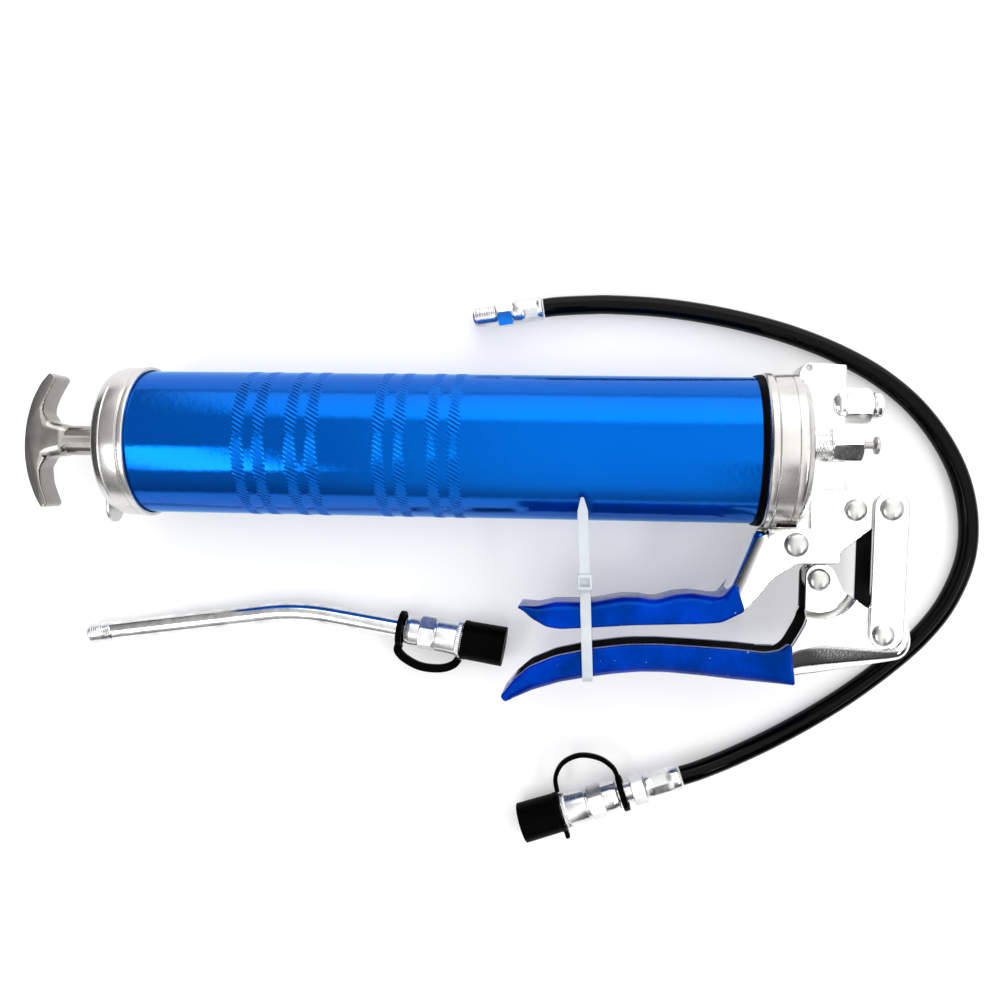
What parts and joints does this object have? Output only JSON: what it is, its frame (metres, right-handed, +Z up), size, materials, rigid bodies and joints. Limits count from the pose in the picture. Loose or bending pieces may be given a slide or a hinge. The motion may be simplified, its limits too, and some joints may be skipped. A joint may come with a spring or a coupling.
{
  "type": "lever grease gun",
  "caption": "Two-hand lever grease gun lying on its side, with a T-handled follower rod, a flexible hose and a bent rigid pipe with capped couplers beside it",
  "frame": {"origin": "centre of the underside of the gun and the pipe as they lie on the table, the free hose left out", "axes": "+X along the barrel from the T handle to the pump head, +Y away from the lever, +Z up from the table"},
  "size_m": [0.3857, 0.2301, 0.0605],
  "materials": {
    "blue_enamel": "glossy, with knurled bands rolled into the tube",
    "blue_vinyl": "dipped vinyl, glossy and slightly wavy",
    "polished_zinc": "polished die casting, slightly dull",
    "cast_aluminium": "bright satin casting",
    "plated_steel": "bright zinc plate",
    "spring_steel": "bare steel",
    "brass": "turned, satin",
    "black_rubber": "moulded, semi-gloss",
    "hose_rubber": "smooth with faint cloth-wrap ribs",
    "clear_nylon": "translucent, satin"
  },
  "bodies": {
    "pump_head": {"head_casting": "cast_aluminium", "check_ball": "spring_steel", "check_spring": "spring_steel", "outlet_adapter": "plated_steel", "outlet_ring": "plated_steel", "bleeder_body": "plated_steel", "plunger_seal": "black_rubber", "grip_frame": "plated_steel", "fixed_grip": "blue_vinyl", "frame_rivet_lower": "plated_steel", "frame_rivet_upper": "plated_steel", "link_upper_pin": "plated_steel", "cable_tie": "clear_nylon"},
    "barrel": {"barrel_tube": "blue_enamel", "rear_cap": "polished_zinc", "barrel_gasket": "black_rubber"},
    "follower_rod": {"follower_rod": "plated_steel", "t_handle": "polished_zinc", "follower_washer": "plated_steel", "follower_cup": "black_rubber", "follower_nut": "plated_steel", "follower_spring": "spring_steel"},
    "rod_lock": {"rod_lock_plate": "plated_steel"},
    "link": {"link_channel": "plated_steel", "link_lower_pin": "plated_steel"},
    "lever": {"lever_channel": "plated_steel", "lever_grip": "blue_vinyl"},
    "plunger": {"plunger": "spring_steel", "plunger_pin": "plated_steel"},
    "bleeder_stem": {"bleeder_stem": "spring_steel"},
    "hose": {"hose_tube": "hose_rubber", "hose_ferrule_front": "plated_steel", "hose_male_fitting": "plated_steel", "hose_ferrule_back": "plated_steel", "hose_coupler_nipple": "plated_steel", "hose_coupler_body": "plated_steel", "hose_coupler_seal": "black_rubber", "hose_coupler_jaws": "brass", "hose_cap_strap": "black_rubber"},
    "hose_cap": {"hose_dust_cap": "black_rubber"},
    "pipe": {"rigid_pipe": "plated_steel", "pipe_coupler_body": "plated_steel", "pipe_coupler_seal": "black_rubber", "pipe_coupler_jaws": "brass", "pipe_cap_strap": "black_rubber"},
    "pipe_cap": {"pipe_dust_cap": "black_rubber"}
  },
  "joints": [
    {"name": "link_swing", "type": "hinge", "parent": "pump_head", "child": "link", "pos_m": [0.1653, 0.0115, 0.03025], "axis": [0, 0, 1], "range_deg": [0, 8.8]},
    {"name": "lever_pivot", "type": "hinge", "parent": "link", "child": "lever", "pos_m": [0.1631, -0.0359, 0.03025], "axis": [0, 0, 1], "range_deg": [0, 20]},
    {"name": "plunger_slide", "type": "slide", "parent": "pump_head", "child": "plunger", "axis": [0, 1, 0], "range_m": [-0.013, 0]},
    {"name": "barrel_unscrew", "type": "slide", "parent": "pump_head", "child": "barrel", "axis": [-1, 0, 0], "range_m": [0, 0.014]},
    {"name": "rod_slide", "type": "slide", "parent": "barrel", "child": "follower_rod", "axis": [-1, 0, 0], "range_m": [0, 0.185], "deforming": ["follower_spring"]},
    {"name": "rod_lock_tilt", "type": "hinge", "parent": "barrel", "child": "rod_lock", "pos_m": [-0.1411, 0.044, 0.03025], "axis": [0, 0, 1], "range_deg": [0, 1.8], "stiffness_Nm_per_rad": 1},
    {"name": "bleeder_press", "type": "slide", "parent": "pump_head", "child": "bleeder_stem", "axis": [-1, 0, 0], "range_m": [0, 0.002], "stiffness_N_per_m": 400},
    {"name": "hose_away", "type": "slide", "parent": "pump_head", "child": "hose", "axis": [1, 0, 0], "range_m": [0, 0.06]},
    {"name": "hose_cap_pull", "type": "slide", "parent": "hose", "child": "hose_cap", "axis": [-0.9466, -0.3223, 0], "range_m": [0, 0.012]},
    {"name": "pipe_away", "type": "slide", "parent": "pump_head", "child": "pipe", "axis": [0, -1, 0], "range_m": [0, 0.03]},
    {"name": "pipe_cap_pull", "type": "slide", "parent": "pipe", "child": "pipe_cap", "axis": [0.989, -0.1478, 0], "range_m": [0, 0.012]}
  ],
  "couplings": [
    {"joint": "link_swing", "follows": "lever_pivot", "ratio": 0.4392},
    {"joint": "plunger_slide", "follows": "lever_pivot", "m_per_rad": -0.03707}
  ]
}
